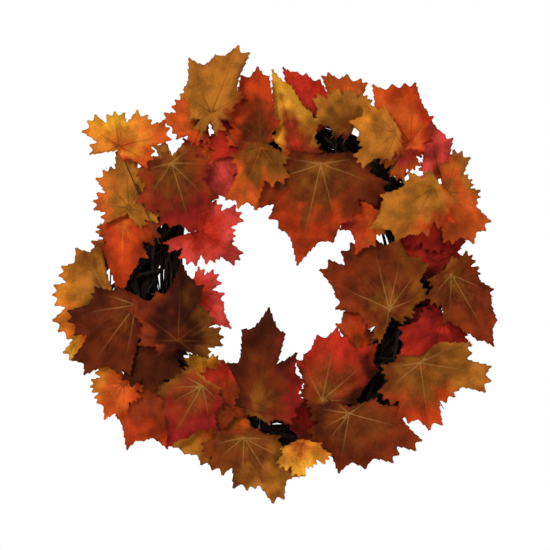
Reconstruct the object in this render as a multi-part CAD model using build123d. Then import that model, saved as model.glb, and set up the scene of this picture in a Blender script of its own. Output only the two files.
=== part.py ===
from build123d import *
import math
import os
from collections import namedtuple

# Harvest door wreath: silk maple leaves on wire stems, pushed into a ring of dark twisted vine,
# with a wire hanger at the back of its top.
#
# Lengths are in millimetres and angles in degrees. The model is laid out about the centre of the
# ring, which stands in the XZ plane: the front faces -Y, the door is at +Y, and +Z is up.
# Everything is then moved so that the origin is the point where a door hook holds the hanger.

# ------------------------------------------------------------------ driving dimensions
RING_RADIUS = 162.0  # ring centre to the centreline of the vine bundle

CANE_RADIUS = 5.5
CORE_CANES = 3
CORE_OFFSET = 7.0  # bundle centreline to the centreline of a core cane
CORE_TWISTS = 4
OUTER_CANES = 6
OUTER_OFFSET = 19.5
OUTER_TWISTS = 3
CANE_SWEEP = 352  # degrees of the ring that one cane covers
CANE_STEP = 11  # degrees between the points of a cane's path
BUNDLE_RADIUS = OUTER_OFFSET + CANE_RADIUS

BINDER_RADIUS = 2.2
BINDER_OFFSET = BUNDLE_RADIUS + BINDER_RADIUS + 1.5
BINDER_SPANS = ((108, 252), (288, 432))  # start and end of each binding vine round the ring
BINDER_TURNS = 6
BINDER_POINTS_PER_TURN = 12

WIRE_RADIUS = 1.0
TIE_ANGLES = (80, 97, 262, 279)  # where a tie wire goes round the bundle
BAND_CLEARANCE = 0.3  # between the bundle and a wire round it
BAND_OFFSET = BUNDLE_RADIUS + BAND_CLEARANCE + WIRE_RADIUS

LEAF_THICKNESS = 0.8
LEAF_FRONT = BUNDLE_RADIUS + 7.0  # bundle centreline to the crest of the rearmost leaf layer
LAYER_STEP = 6.5
OUTER_DOME_RADIUS = 170.0  # leaves outside the bundle's centreline curve back on this radius
INNER_DOME_RADIUS = 280.0  # leaves inside it lie flatter
STEM_RADIUS = 0.7
STEM_GAP = 0.15  # from a leaf's back to its stem
STEM_BEND = 3.0
STEM_DEPTH = 6.0  # how far a stem's end is pushed between the canes, from the bundle's front
STEM_CLEARANCE = 0.4  # from a stem to the other pieces
STEM_SPACING = 2.8  # between two stems' centrelines
STEM_END_OFFSET = 20.0  # furthest that a stem enters from over the bundle's centreline
STEM_RUNS = range(6, 124, 2)  # lengths that a stem may run behind its leaf
STEM_TURNS = sorted(range(-165, 181, 15), key=abs)  # from the way straight back from the tip
SAMPLE_STEP = 2.5  # between the points at which a stem is tested
OBSTACLE_REACH = 10.0  # ring points further than this from a stem's end don't matter

HANGER_AROUND = 45  # degrees from straight up to the eye, towards the back of the bundle
EYE_RADIUS = 4.0  # centreline of the eye's wire
EYE_CLEARANCE = 0.3  # between the eye and the loop's bar, which pulls up against it
LOOP_HALF_WIDTH = 9.0
LOOP_HEIGHT = 26.0  # hinge line to the wire at the top of the loop
LOOP_TOP_RADIUS = 8.9
LOOP_CORNER_RADIUS = 3.5

# ------------------------------------------------------------------ leaf layout
# A leaf's place is its junction, where the veins meet, as across (X) and up (Z) from the ring's
# centre. heading is the direction of the main lobe's tip, from +X towards +Z, and length is how far
# it is. left and right are the other tips, in order from the main lobe to the stem, each as its
# turn from the main lobe and its distance as a share of the length. left is the anticlockwise side
# seen from the front. Layer 1 is the rearmost.
Leaf = namedtuple("Leaf", "across up heading length layer left right")

LEAVES = {
    "leaf_01_mustard": Leaf(
        -75, 199, 69, 83, 5,
        ((17, 0.80), (43, 0.82), (69, 0.50), (100, 0.32), (176, 0.31)),
        ((33, 0.50), (60, 0.30), (145, 0.30)),
    ),
    "leaf_02_orange": Leaf(
        -84, 189, 177, 46, 3,
        ((21, 0.77), (63, 0.58), (110, 0.5)),
        ((36, 0.88), (75, 0.66), (115, 0.5)),
    ),
    "leaf_03_gold": Leaf(
        -179, 162, 98, 40, 5,
        ((42, 1.18), (95, 0.84)),
        ((50, 1.18), (78, 1.50), (118, 1.02), (172, 0.41)),
    ),
    "leaf_04_mustard": Leaf(
        -168, 93, 93, 66, 3,
        ((31, 0.77), (75, 0.60), (119, 0.50)),
        ((30, 0.75), (62, 0.62), (104, 0.56), (151, 0.40)),
    ),
    "leaf_05_red": Leaf(
        -174, 78, 267, 86, 2,
        ((21, 0.58), (71, 0.51), (130, 0.35)),
        ((17, 0.58), (56, 0.36), (120, 0.30)),
    ),
    "leaf_06_rust": Leaf(
        -178, 54, 195, 33, 1,
        ((37, 1.20), (68, 1.10), (115, 0.6)),
        ((58, 0.92), (105, 0.85), (145, 0.4)),
    ),
    "leaf_07_mustard": Leaf(
        -193, -1, 183, 61, 3,
        ((36, 1.15), (70, 0.80), (110, 0.45)),
        ((32, 0.95), (58, 0.97), (84, 0.90)),
    ),
    "leaf_08_gold": Leaf(
        -205, -38, 232, 50, 2,
        ((21, 0.65), (58, 0.45), (110, 0.35)),
        ((38, 0.71), (75, 0.6), (120, 0.35)),
    ),
    "leaf_09_brown": Leaf(
        -159, -15, 233, 98, 5,
        ((22, 0.81), (52, 0.36), (100, 0.22)),
        ((39, 0.80), (66, 0.52), (96, 0.30)),
    ),
    "leaf_10_maroon": Leaf(
        -125, -58, 254, 58, 4,
        ((25, 0.65), (76, 0.45), (120, 0.4)),
        ((34, 1.10), (74, 0.74), (107, 0.40)),
    ),
    "leaf_11_brown": Leaf(
        -120, 144, 287, 84, 4,
        ((23, 0.80), (66, 0.52), (105, 0.40), (130, 0.28)),
        ((18, 0.85), (45, 0.72), (87, 0.48), (180, 0.33)),
    ),
    "leaf_12_red": Leaf(
        -80, 160, 297, 64, 1,
        ((37, 0.74), (73, 0.60), (115, 0.50)),
        ((26, 1.0), (55, 0.68), (99, 0.50), (140, 0.45)),
    ),
    "leaf_13_maroon": Leaf(
        -52, 158, 89, 58, 2,
        ((24, 0.85), (65, 0.50), (115, 0.45)),
        ((22, 0.90), (60, 0.45), (110, 0.35)),
    ),
    "leaf_14_rust": Leaf(
        -20, 167, 92, 85, 3,
        ((14, 0.92), (39, 0.66), (80, 0.45), (120, 0.30)),
        ((9, 0.88), (28, 0.40), (80, 0.16)),
    ),
    "leaf_15_gold": Leaf(
        -19, 161, 249, 72, 6,
        ((53, 0.65), (90, 0.46)),
        ((41, 0.50), (85, 0.30)),
    ),
    "leaf_16_orange": Leaf(
        24, 150, 107, 104, 2,
        ((10, 0.62), (22, 0.40), (70, 0.20)),
        ((10, 0.78), (31, 0.50), (75, 0.26), (130, 0.2)),
    ),
    "leaf_17_red": Leaf(
        46, 188, 122, 76, 1,
        ((18, 0.58), (41, 0.32), (100, 0.25)),
        ((9, 0.85), (18, 0.77), (33, 0.66), (55, 0.50), (105, 0.30)),
    ),
    "leaf_18_orange": Leaf(
        75, 195, 87, 49, 2,
        ((23, 1.10), (50, 0.60), (100, 0.4)),
        ((20, 0.98), (50, 0.70), (100, 0.4)),
    ),
    "leaf_19_mustard": Leaf(
        81, 186, 144, 51, 3,
        ((20, 0.77), (60, 0.42), (110, 0.3)),
        ((27, 0.86), (54, 0.79), (83, 0.75), (120, 0.40)),
    ),
    "leaf_20_gold": Leaf(
        132, 177, 217, 54, 6,
        ((27, 0.62), (72, 0.45)),
        ((27, 0.80), (51, 0.98), (76, 0.86), (104, 0.60)),
    ),
    "leaf_21_orange": Leaf(
        148, 166, 84, 69, 4,
        ((10, 0.98), (22, 1.00), (38, 1.12), (62, 0.78), (95, 0.50), (135, 0.40)),
        ((23, 0.60), (62, 0.38), (110, 0.3)),
    ),
    "leaf_22_red": Leaf(
        142, 165, 258, 40, 2,
        ((34, 0.75), (81, 0.60), (120, 0.5)),
        ((40, 0.85), (81, 0.65), (120, 0.5)),
    ),
    "leaf_23_crimson": Leaf(
        181, 133, 100, 67, 1,
        ((13, 0.64), (50, 0.34), (110, 0.3)),
        ((19, 0.66), (63, 0.42), (110, 0.32)),
    ),
    "leaf_24_mustard": Leaf(
        190, 112, 315, 61, 3,
        ((36, 0.62), (70, 0.50), (114, 0.79), (149, 0.55)),
        ((18, 1.06), (39, 0.95), (70, 0.65), (115, 0.5)),
    ),
    "leaf_25_rust": Leaf(
        181, 90, 224, 54, 2,
        ((34, 0.88), (72, 0.70), (120, 0.5)),
        ((34, 0.75), (77, 0.51), (120, 0.4)),
    ),
    "leaf_26_gold": Leaf(
        174, 116, 213, 84, 6,
        ((22, 0.86), (38, 0.66), (76, 0.55), (115, 0.38)),
        ((16, 0.72), (43, 0.40), (110, 0.24)),
    ),
    "leaf_27_brown": Leaf(
        48, 143, 257, 116, 5,
        ((22, 0.76), (41, 0.62), (78, 0.68), (106, 0.49), (123, 0.30)),
        ((20, 0.74), (53, 0.79), (80, 0.42), (100, 0.30)),
    ),
    "leaf_28_orange": Leaf(
        105, 88, 249, 49, 4,
        ((15, 0.78), (51, 0.55), (100, 0.35)),
        ((20, 0.65), (41, 0.81), (75, 0.55), (130, 0.35)),
    ),
    "leaf_29_crimson": Leaf(
        118, 100, 207, 54, 1,
        ((20, 0.85), (50, 0.65), (100, 0.5)),
        ((25, 0.74), (65, 0.50), (110, 0.4)),
    ),
    "leaf_30_brown": Leaf(
        125, -21, 104, 85, 3,
        ((16, 1.01), (46, 1.05), (62, 0.72), (103, 0.38), (150, 0.45)),
        ((21, 0.95), (45, 0.80), (75, 0.55), (110, 0.32), (150, 0.25)),
    ),
    "leaf_31_brown": Leaf(
        194, 19, 301, 94, 4,
        ((14, 0.78), (30, 0.55), (60, 0.34), (100, 0.33), (145, 0.2)),
        ((9, 0.85), (18, 0.70), (28, 0.60), (65, 0.42), (106, 0.28)),
    ),
    "leaf_32_crimson": Leaf(
        196, 44, 174, 64, 1,
        ((24, 0.80), (52, 0.67), (90, 0.5), (140, 0.4)),
        ((31, 0.65), (75, 0.45), (130, 0.4)),
    ),
    "leaf_33_red": Leaf(
        185, -35, 219, 63, 2,
        ((24, 0.80), (60, 0.65), (93, 0.67), (122, 0.50)),
        ((19, 0.80), (60, 0.42), (110, 0.3)),
    ),
    "leaf_34_crimson": Leaf(
        172, -17, 213, 38, 1,
        ((30, 0.72), (80, 0.45)),
        ((33, 0.64), (86, 0.42)),
    ),
    "leaf_35_mustard": Leaf(
        159, -80, 278, 76, 4,
        ((37, 0.72), (67, 1.08), (103, 0.79), (127, 0.42)),
        ((19, 0.90), (53, 0.76), (83, 0.57), (115, 0.35)),
    ),
    "leaf_36_brown": Leaf(
        80, -137, 260, 68, 3,
        ((26, 0.95), (51, 1.09), (79, 1.28), (98, 0.85), (128, 0.50)),
        ((22, 0.80), (45, 0.76), (83, 0.66), (112, 0.40)),
    ),
    "leaf_37_brown": Leaf(
        -22, -130, 84, 111, 5,
        ((18, 0.79), (24, 0.56), (79, 0.24), (120, 0.15)),
        ((14, 0.78), (17, 0.46), (29, 0.66), (54, 0.53), (76, 0.45), (97, 0.38), (141, 0.20)),
    ),
    "leaf_38_red": Leaf(
        -52, -136, 100, 58, 2,
        ((20, 0.98), (51, 0.68), (98, 0.50), (140, 0.4)),
        ((19, 0.92), (55, 0.60), (110, 0.5)),
    ),
    "leaf_39_rust": Leaf(
        -45, -140, 203, 88, 1,
        ((12, 0.84), (30, 0.78), (67, 0.50), (110, 0.3)),
        ((13, 0.66), (45, 0.60), (80, 0.5), (120, 0.35)),
    ),
    "leaf_40_mustard": Leaf(
        -39, -164, 303, 83, 3,
        ((24, 0.95), (46, 0.50), (85, 0.24)),
        ((29, 0.72), (77, 0.60), (104, 0.58), (135, 0.37)),
    ),
    "leaf_41_gold": Leaf(
        25, -170, 268, 38, 4,
        ((28, 0.79), (62, 0.95), (90, 0.60)),
        ((38, 0.92), (70, 0.60)),
    ),
    "leaf_42_crimson": Leaf(
        28, -126, 270, 50, 1,
        ((25, 1.05), (60, 0.6), (110, 0.3)),
        ((25, 0.65), (80, 0.3)),
    ),
    "leaf_43_orange": Leaf(
        -83, -98, 94, 31, 1,
        ((28, 1.0), (70, 0.8), (120, 0.6)),
        ((35, 0.90), (80, 0.7), (120, 0.6)),
    ),
    "leaf_44_maroon": Leaf(
        -112, -56, 88, 89, 6,
        ((10, 0.67), (26, 0.66), (49, 0.77), (84, 0.50), (127, 0.30)),
        ((12, 0.78), (44, 0.54), (83, 0.56), (118, 0.43)),
    ),
    "leaf_45_red": Leaf(
        -96, -2, 317, 58, 3,
        ((24, 0.62), (79, 0.59), (120, 0.5)),
        ((22, 0.72), (60, 0.5), (110, 0.4)),
    ),
    "leaf_46_red": Leaf(
        -87, 67, 324, 53, 2,
        ((28, 0.72), (61, 0.93), (100, 0.72), (140, 0.60), (187, 0.78)),
        ((30, 0.70), (77, 0.74), (127, 0.82)),
    ),
    "leaf_47_orange": Leaf(
        -172, -103, 240, 47, 3,
        ((20, 0.78), (61, 0.50), (110, 0.45)),
        ((25, 0.82), (53, 0.82), (90, 0.75), (122, 0.50)),
    ),
    "leaf_48_orange": Leaf(
        -152, -102, 256, 79, 2,
        ((14, 0.84), (34, 1.01), (50, 0.66), (85, 0.38), (130, 0.25)),
        ((24, 0.62), (60, 0.38), (125, 0.25)),
    ),
    "leaf_49_rust": Leaf(
        -85, -106, 240, 80, 3,
        ((14, 0.76), (37, 0.64), (71, 0.40), (110, 0.25)),
        ((26, 0.66), (51, 0.66), (82, 0.50), (120, 0.30)),
    ),
    "leaf_50_red": Leaf(
        90, -63, 101, 58, 1,
        ((18, 0.62), (66, 0.40), (120, 0.3)),
        ((16, 0.72), (59, 0.40), (120, 0.3)),
    ),
    "leaf_51_orange": Leaf(
        49, -124, 78, 84, 2,
        ((16, 0.87), (32, 0.66), (73, 0.32), (120, 0.2)),
        ((9, 0.90), (32, 1.06), (49, 0.86), (70, 0.50), (110, 0.25)),
    ),
}

# The outline between two tips: each tip has a narrow waist and then a side tooth, and a notch
# parts the two teeth. Places are shares of the turn from tip to tip, and drops are shares of the
# notch's own drop.
NOTCH_DEPTH = 0.34  # at a turn of NOTCH_TURN or more, as a share of the reach
NOTCH_TURN = 60
WAIST_SHARE = 0.13
WAIST_DROP = 0.35
TOOTH_SHARE = 0.32
TOOTH_DROP = 0.1
TOOTH_TURN = 27  # a smaller turn has only the notch
STEM_NOTCH = 0.08  # junction to the bottom of the notch where the stem leaves

# Bare side shoots of the vine, each a list of (across, up, forward) points.
TWIGS = (
    ((132, 120, 12), (146, 133, 15), (156, 143, 16), (166, 139, 17), (173, 133, 19)),
    ((136, 124, 10), (138, 134, 10), (143, 139, 11), (150, 138, 12)),
    ((-150, 108, -8), (-163, 112, -10), (-176, 122, -11), (-184, 136, -10)),
    ((-96, -158, -10), (-104, -166, -12), (-110, -170, -13), (-114, -176, -11)),
    ((150, -108, -9), (166, -112, -11), (180, -122, -11), (188, -134, -9)),
)
TWIG_RADIUS = 1.3


# ------------------------------------------------------------------ small helpers
def polar(angle, distance):
    return (distance * math.cos(math.radians(angle)), distance * math.sin(math.radians(angle)))


def bundle_point(turn, offset, around):
    """A point beside the bundle's centreline: turn goes round the ring, around goes round the
    bundle from straight outward towards the back."""
    outward, back = polar(around, offset)
    across, up = polar(turn, RING_RADIUS + outward)
    return Vector(across, back, up)


def tangent_path(points):
    """Straight runs joined by arcs as large as each pair of runs allows."""
    radii = []
    for before, here, after in zip(points, points[1:], points[2:]):
        half_turn = math.radians((here - before).get_angle(after - here)) / 2
        run = min((here - before).length, (after - here).length)
        radii.append(0.45 * run / math.tan(half_turn))
    return FilletPolyline(*points, radius=radii)


def rod(path, radius):
    start = Plane(origin=path @ 0, z_dir=path % 0)
    return sweep(start * Circle(radius), path=path)


# ------------------------------------------------------------------ vine ring
def cane_point(offset, twists, phase, turn):
    return bundle_point(turn, offset, phase + twists * turn)


def cane_starts(count):
    """Where each of a set of canes starts round the ring, and its phase round the bundle."""
    return [(200 + 137 * i, 360 * i / count) for i in range(count)]


def canes(count, offset, twists):
    """Vine canes twisted round the bundle's centreline as they go round the ring."""
    made = []
    for start, phase in cane_starts(count):
        turns = range(start, start + CANE_SWEEP + 1, CANE_STEP)
        points = [cane_point(offset, twists, phase, turn) for turn in turns]
        made.append(rod(tangent_path(points), CANE_RADIUS))
    return made


def binder_point(span, share):
    first, last = span
    return bundle_point(first + (last - first) * share, BINDER_OFFSET, 360 * BINDER_TURNS * share)


def binding_vine(span):
    """A thin vine that spirals round the outside of the bundle."""
    steps = BINDER_TURNS * BINDER_POINTS_PER_TURN
    points = [binder_point(span, i / steps) for i in range(steps + 1)]
    return rod(tangent_path(points), BINDER_RADIUS)


def twig(points):
    return rod(tangent_path([Vector(x, -forward, z) for x, z, forward in points]), TWIG_RADIUS)


def bundle_section(turn):
    """The plane across the bundle at one place: its x is outward and its y is the back."""
    outward = polar(turn, 1)
    return Plane(
        origin=bundle_point(turn, 0, 0),
        x_dir=(outward[0], 0, outward[1]),
        z_dir=(-outward[1], 0, outward[0]),
    )


def band(turn):
    """A wire that goes once round the bundle."""
    return bundle_section(turn) * Torus(BAND_OFFSET, WIRE_RADIUS)


# ------------------------------------------------------------------ hanger
EYE_OFFSET = BAND_OFFSET + WIRE_RADIUS + EYE_RADIUS
EYE_CENTRE = bundle_point(90, EYE_OFFSET, HANGER_AROUND)
HINGE = EYE_CENTRE + Vector(0, 0, EYE_RADIUS - 2 * WIRE_RADIUS - EYE_CLEARANCE)
HOOK_POINT = HINGE + Vector(0, 0, LOOP_HEIGHT - WIRE_RADIUS)


def hanger_band():
    """The wire round the top of the bundle with an eye twisted into it at the back."""
    eye = Pos(*EYE_CENTRE) * Rot(0, 90, 0) * Torus(EYE_RADIUS, WIRE_RADIUS)
    return band(90) + eye


def hanging_loop():
    """The closed wire loop whose bottom bar turns in the eye."""
    corners = (
        (-LOOP_HALF_WIDTH, 0),
        (LOOP_HALF_WIDTH, 0),
        (LOOP_HALF_WIDTH, LOOP_HEIGHT),
        (-LOOP_HALF_WIDTH, LOOP_HEIGHT),
    )
    points = [HINGE + Vector(x, 0, z) for x, z in corners]
    radii = [LOOP_CORNER_RADIUS, LOOP_CORNER_RADIUS, LOOP_TOP_RADIUS, LOOP_TOP_RADIUS]
    path = FilletPolyline(*points, radius=radii, close=True)
    return rod(path, WIRE_RADIUS)


# ------------------------------------------------------------------ leaves
def lobe_edge(first, second):
    """The corners between two tips, each a turn and a reach, and the second tip."""
    turn = second[0] - first[0]
    notch = math.cos(math.radians(turn / 2)) * (1 - NOTCH_DEPTH * min(1, turn / NOTCH_TURN))
    points = [(first[0] + turn / 2, notch * (first[1] + second[1]) / 2)]
    if turn >= TOOTH_TURN:
        for share, drop in ((TOOTH_SHARE, TOOTH_DROP), (WAIST_SHARE, WAIST_DROP)):
            reach = 1 - drop * (1 - notch)
            points.insert(0, (first[0] + share * turn, first[1] * reach))
            points.append((second[0] - share * turn, second[1] * reach))
    return points + [second]


def leaf_outline(leaf):
    """The blade's corners, seen from the front, anticlockwise from the main tip."""
    polars = [(0, 1)]
    for tip in leaf.left:
        polars += lobe_edge(polars[-1], tip)
    right = [(360 - turn, reach) for turn, reach in reversed(leaf.right)]
    polars.append(((leaf.left[-1][0] + right[0][0]) / 2, STEM_NOTCH))
    polars.append(right[0])
    for tip in right[1:] + [(360, 1)]:
        polars += lobe_edge(polars[-1], tip)
    corners = []
    for turn, reach in polars[:-1]:
        across, up = polar(leaf.heading + turn, reach * leaf.length)
        corners.append((leaf.across + across, leaf.up + up))
    return corners


def dome(leaf):
    """The cylinder that a leaf's front lies on: a point of its centreline, its direction and its
    radius. It follows the ring where the leaf is, with its crest over the bundle's centreline."""
    across, up = polar(leaf.heading, 0.4 * leaf.length)
    across += leaf.across
    up += leaf.up
    radius = OUTER_DOME_RADIUS if math.hypot(across, up) > RING_RADIUS else INNER_DOME_RADIUS
    turn = math.degrees(math.atan2(up, across))
    crest = LEAF_FRONT + LAYER_STEP * (leaf.layer - 1)
    centre = bundle_point(turn, 0, 0) + Vector(0, radius - crest, 0)
    direction = polar(turn + 90, 1)
    return centre, Vector(direction[0], 0, direction[1]), radius


def leaf_front(leaf, across, up):
    """How far back the front of a leaf lies at one place."""
    centre, direction, radius = dome(leaf)
    away = Vector(across - centre.X, 0, up - centre.Z).cross(direction).length
    return centre.Y - math.sqrt(radius**2 - away**2)


def leaf_blade(leaf):
    """A thin curved blade: the leaf's outline cut out of a cylindrical skin."""
    centre, direction, radius = dome(leaf)
    # The sketch plane's own z points to the front, so its x is across and its y is up.
    sketch = Plane(origin=(0, centre.Y - radius / 2, 0), x_dir=(1, 0, 0), z_dir=(0, -1, 0))
    outline = make_face(Polyline(*leaf_outline(leaf), close=True))
    prism = extrude(sketch * outline, amount=radius)
    length = 4 * leaf.length
    skin = Cylinder(radius, length) - Cylinder(radius - LEAF_THICKNESS, length)
    return prism & (Plane(origin=centre, z_dir=direction) * skin)


# ------------------------------------------------------------------ leaf stems
def inside(corners, across, up, margin):
    """Whether a place is within an outline, or within a margin of its edge."""
    within = False
    for (x1, z1), (x2, z2) in zip(corners, corners[1:] + corners[:1]):
        if (z1 > up) != (z2 > up) and across < (x2 - x1) * (up - z1) / (z2 - z1) + x1:
            within = not within
        length = math.hypot(x2 - x1, z2 - z1)
        share = ((across - x1) * (x2 - x1) + (up - z1) * (z2 - z1)) / length**2
        share = min(1, max(0, share))
        if math.hypot(across - x1 - share * (x2 - x1), up - z1 - share * (z2 - z1)) < margin:
            return True
    return within


def stem_corners(leaf, across, up):
    """A stem's path: behind the blade from the junction, then straight back into the bundle."""
    behind = LEAF_THICKNESS + STEM_GAP + STEM_RADIUS
    return [
        Vector(leaf.across, leaf_front(leaf, leaf.across, leaf.up) + behind, leaf.up),
        Vector(across, leaf_front(leaf, across, up) + behind, up),
        Vector(across, STEM_DEPTH - BUNDLE_RADIUS, up),
    ]


def samples(corners):
    """Points along a path, the first corner left out."""
    points = []
    for start, end in zip(corners, corners[1:]):
        steps = math.ceil((end - start).length / SAMPLE_STEP)
        points += [start + (end - start) * (i / steps) for i in range(1, steps + 1)]
    return points


def ring_obstacles():
    """Points along the canes and what is wound round them, each with its radius."""
    points = []
    for count, offset, twists in (
        (CORE_CANES, CORE_OFFSET, CORE_TWISTS),
        (OUTER_CANES, OUTER_OFFSET, OUTER_TWISTS),
    ):
        for start, phase in cane_starts(count):
            for turn in range(start, start + CANE_SWEEP + 1):
                points.append((cane_point(offset, twists, phase, turn), CANE_RADIUS))
    for span in BINDER_SPANS:
        for i in range(401):
            points.append((binder_point(span, i / 400), BINDER_RADIUS))
    for turn in TIE_ANGLES + (90,):
        for around in range(0, 360, 5):
            points.append((bundle_point(turn, BAND_OFFSET, around), WIRE_RADIUS))
    return points


def hits_leaf(point, leaf, outline):
    if not inside(outline, point.X, point.Z, STEM_RADIUS + STEM_CLEARANCE):
        return False
    front = leaf_front(leaf, point.X, point.Z)
    gap = STEM_RADIUS + STEM_CLEARANCE
    return front - gap < point.Y < front + LEAF_THICKNESS + gap


def is_clear(corners, others, obstacles, stems):
    """Whether a stem misses the other leaves, the ring and the stems already placed."""
    end = corners[-1]
    near = [
        (centre, radius)
        for centre, radius in obstacles
        if math.hypot(centre.X - end.X, centre.Z - end.Z) < OBSTACLE_REACH
    ]
    for point in samples(corners):
        for centre, radius in near:
            if (point - centre).length < radius + STEM_RADIUS + STEM_CLEARANCE:
                return False
        if any(hits_leaf(point, leaf, outline) for leaf, outline in others):
            return False
        if any((point - other).length < STEM_SPACING for other in stems):
            return False
    return True


def stem_routes():
    """For each leaf, the shortest stem that is clear of everything, or none."""
    outlines = {name: leaf_outline(leaf) for name, leaf in LEAVES.items()}
    obstacles = ring_obstacles()
    placed = []
    routes = {}
    for name, leaf in LEAVES.items():
        others = [(LEAVES[key], outlines[key]) for key in LEAVES if key != name]
        lower = [outline for other, outline in others if other.layer < leaf.layer]
        routes[name] = None
        for run in STEM_RUNS:
            for turn in STEM_TURNS:
                across, up = polar(leaf.heading + 180 + turn, run)
                across += leaf.across
                up += leaf.up
                if abs(math.hypot(across, up) - RING_RADIUS) > STEM_END_OFFSET:
                    continue
                if any(inside(outline, across, up, 1) for outline in lower):
                    continue
                corners = stem_corners(leaf, across, up)
                if is_clear(corners, others, obstacles, placed):
                    routes[name] = corners
                    break
            if routes[name]:
                placed += samples(routes[name])
                break
    return routes


# ------------------------------------------------------------------ write the nodes
def write(node, shape):
    """Move a shape so that the hook point is the origin, and write its STEP file."""
    solids = shape if isinstance(shape, list) else [shape]
    placed = [Pos(*(-HOOK_POINT)) * solid for solid in solids]
    whole = placed[0] if len(placed) == 1 else Compound(children=placed)
    export_step(whole, os.path.join("parts", node + ".step"))


def main():
    os.makedirs("parts", exist_ok=True)
    write("vine_core", canes(CORE_CANES, CORE_OFFSET, CORE_TWISTS))
    outer = canes(OUTER_CANES, OUTER_OFFSET, OUTER_TWISTS)
    write("vine_canes_a", outer[0::2])
    write("vine_canes_b", outer[1::2])
    write("binding_vines", [binding_vine(span) for span in BINDER_SPANS])
    write("vine_twigs", [twig(points) for points in TWIGS])
    write("tie_wires", [band(turn) for turn in TIE_ANGLES])
    write("hanger_band", hanger_band())
    write("hanging_loop", hanging_loop())
    for name, leaf in LEAVES.items():
        write(name, leaf_blade(leaf))
    routes = stem_routes()
    print("leaves with no clear way for a stem:", [name for name in routes if not routes[name]])
    paths = [FilletPolyline(*corners, radius=STEM_BEND) for corners in routes.values() if corners]
    write("leaf_stems", [rod(path, STEM_RADIUS) for path in paths])
    print("hook point from the ring's centre:", HOOK_POINT)


main()
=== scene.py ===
"""Autumn door wreath: silk maple leaves on a ring of dark twisted vines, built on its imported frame.

Leaves and vines are worked out in millimetres about the ring's centre, as across, back and up
(x, y and z), and moved into the shared frame in metres when their meshes are made.
"""

import math
from collections import namedtuple

import bpy
import numpy as np
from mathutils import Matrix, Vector, noise
from mathutils.bvhtree import BVHTree
from mathutils.geometry import delaunay_2d_cdt
from mathutils.kdtree import KDTree


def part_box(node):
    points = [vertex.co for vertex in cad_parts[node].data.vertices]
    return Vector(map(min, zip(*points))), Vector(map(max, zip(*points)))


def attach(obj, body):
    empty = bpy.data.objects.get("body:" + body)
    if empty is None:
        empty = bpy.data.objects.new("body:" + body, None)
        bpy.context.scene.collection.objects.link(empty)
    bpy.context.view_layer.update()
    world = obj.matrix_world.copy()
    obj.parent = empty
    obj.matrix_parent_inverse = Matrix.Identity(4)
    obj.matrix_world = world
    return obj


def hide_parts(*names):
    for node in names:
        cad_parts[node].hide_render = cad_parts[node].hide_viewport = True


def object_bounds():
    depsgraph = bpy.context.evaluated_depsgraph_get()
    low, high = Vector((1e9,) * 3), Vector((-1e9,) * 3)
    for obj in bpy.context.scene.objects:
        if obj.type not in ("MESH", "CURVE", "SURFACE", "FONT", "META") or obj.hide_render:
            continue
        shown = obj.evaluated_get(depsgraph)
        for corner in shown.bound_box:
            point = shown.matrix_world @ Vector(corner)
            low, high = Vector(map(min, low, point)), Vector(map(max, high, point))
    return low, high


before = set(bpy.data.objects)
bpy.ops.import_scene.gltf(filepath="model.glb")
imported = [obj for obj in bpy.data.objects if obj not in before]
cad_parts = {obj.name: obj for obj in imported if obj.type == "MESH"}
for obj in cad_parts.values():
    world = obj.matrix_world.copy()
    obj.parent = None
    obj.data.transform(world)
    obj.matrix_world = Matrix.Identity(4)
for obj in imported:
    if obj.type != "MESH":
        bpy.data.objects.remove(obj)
CAD_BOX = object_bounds()
BODY = "wreath"

# The ring's centre and size, from the core canes' box.
MM = 0.001
CANE_RADIUS = 5.5
CORE_CANES = 3
CORE_OFFSET = 7.0
CORE_TWISTS = 4
OUTER_CANES = 6
OUTER_OFFSET = 19.5
OUTER_TWISTS = 3
CANE_SWEEP = 352
CORE_LOW, CORE_HIGH = (Vector(corner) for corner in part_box("vine_core"))
RING_CENTRE = (CORE_LOW + CORE_HIGH) / 2
RING_RADIUS = (CORE_HIGH.x - CORE_LOW.x) / 2 / MM - CORE_OFFSET - CANE_RADIUS
BUNDLE_RADIUS = OUTER_OFFSET + CANE_RADIUS
BINDER_RADIUS = 2.2
BINDER_OFFSET = BUNDLE_RADIUS + BINDER_RADIUS + 1.5
BINDER_SPANS = ((108, 252), (288, 432))
BINDER_TURNS = 6

# Each tendril's points, as across, up and forward of the ring's centre.
TWIGS = (
    ((132, 120, 12), (146, 133, 15), (156, 143, 16), (166, 139, 17), (173, 133, 19)),
    ((136, 124, 10), (138, 134, 10), (143, 139, 11), (150, 138, 12)),
    ((-150, 108, -8), (-163, 112, -10), (-176, 122, -11), (-184, 136, -10)),
    ((-96, -158, -10), (-104, -166, -12), (-110, -170, -13), (-114, -176, -11)),
    ((150, -108, -9), (166, -112, -11), (180, -122, -11), (188, -134, -9)),
)
TWIG_RADIUS = 1.3
KNOT_SPACING = 83  # along a vine
KNOT_LENGTH = 5.5
KNOT_SIZE = 0.22  # as a share of the vine's radius
LOOSE_VINES = 26
LOOSE_OFFSET = 21.5
LOOSE_BULGE = 4.5

# Stray vines: the middle's turn round the ring, the half turn either side, the nearest and the
# spread of their distances from the centre in millimetres, and how many.
STRAY_RUNS = ((178, 40, 111, 22, 12), (-33, 38, 117, 15, 8), (63, 19, 182, 14, 6))
STRAY_RADIUS = 2.3

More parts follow.
